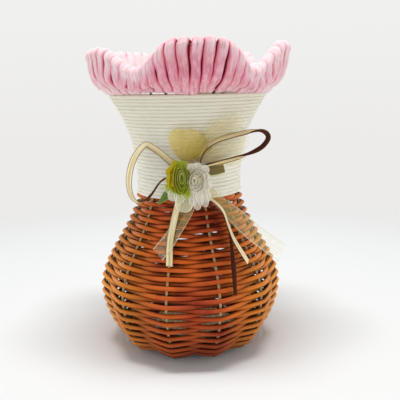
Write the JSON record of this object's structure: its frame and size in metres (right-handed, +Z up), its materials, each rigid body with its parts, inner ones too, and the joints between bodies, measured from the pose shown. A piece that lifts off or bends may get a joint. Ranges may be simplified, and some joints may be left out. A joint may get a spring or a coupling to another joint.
{
  "type": "rattan vase",
  "caption": "Woven rattan vase with a round randed belly, a waisted cord-wound neck, a scalloped rim of wrapped paper petals and a ribbon bow with an organza flower; holds dry stems.",
  "frame": {"origin": "middle of the foot board's underside, on the surface that the vase stands on", "axes": "+Z up along the vase's axis, -Y to the front where the bow is, +X to the right seen from the front"},
  "size_m": [0.1594, 0.1582, 0.2485],
  "materials": {
    "pale_wood": "planed pale wood",
    "pale_cane": "peeled rattan core",
    "brown_rattan": "stained and varnished rattan",
    "white_cord": "twisted paper cord",
    "hoop_wire": "brown coated wire",
    "pink_paper": "crumpled paper ribbon",
    "gold_ribbon": "satin ribbon with metallic yarn",
    "brown_ribbon": "reverse of the gold ribbon",
    "olive_ribbon": "satin ribbon",
    "cream_organza": "sheer organza",
    "white_organza": "sheer organza",
    "green_organza": "sheer organza",
    "green_leaf": "pressed cloth leaf"
  },
  "bodies": {
    "root": {"base_board": "pale_wood", "belly_weaver_1": "brown_rattan", "belly_weaver_2": "brown_rattan", "belly_weaver_3": "brown_rattan", "belly_weaver_4": "brown_rattan", "belly_weaver_5": "brown_rattan", "belly_weaver_6": "brown_rattan", "belly_weaver_7": "brown_rattan", "belly_weaver_8": "brown_rattan", "bow_knot": "gold_ribbon", "brown_tail_right": "brown_ribbon", "collar_hoop": "hoop_wire", "flower_leaf": "green_leaf", "gold_loop_left": "gold_ribbon", "gold_loop_right": "gold_ribbon", "gold_tail_front": "gold_ribbon", "gold_tail_right": "gold_ribbon", "green_rosette": "green_organza", "neck_winding": "white_cord", "olive_ribbon_end": "olive_ribbon", "organza_loop_left": "cream_organza", "organza_loop_right": "cream_organza", "organza_tail_left": "cream_organza", "organza_tail_right": "cream_organza", "petal_wrap_1": "pink_paper", "petal_wrap_2": "pink_paper", "petal_wrap_3": "pink_paper", "petal_wrap_4": "pink_paper", "petal_wrap_5": "pink_paper", "rim_hoop": "hoop_wire", "stake_01": "pale_cane", "stake_02": "pale_cane", "stake_03": "pale_cane", "stake_04": "pale_cane", "stake_05": "pale_cane", "stake_06": "pale_cane", "stake_07": "pale_cane", "stake_08": "pale_cane", "stake_09": "pale_cane", "stake_10": "pale_cane", "stake_11": "pale_cane", "white_rosette": "white_organza"}
  },
  "joints": []
}
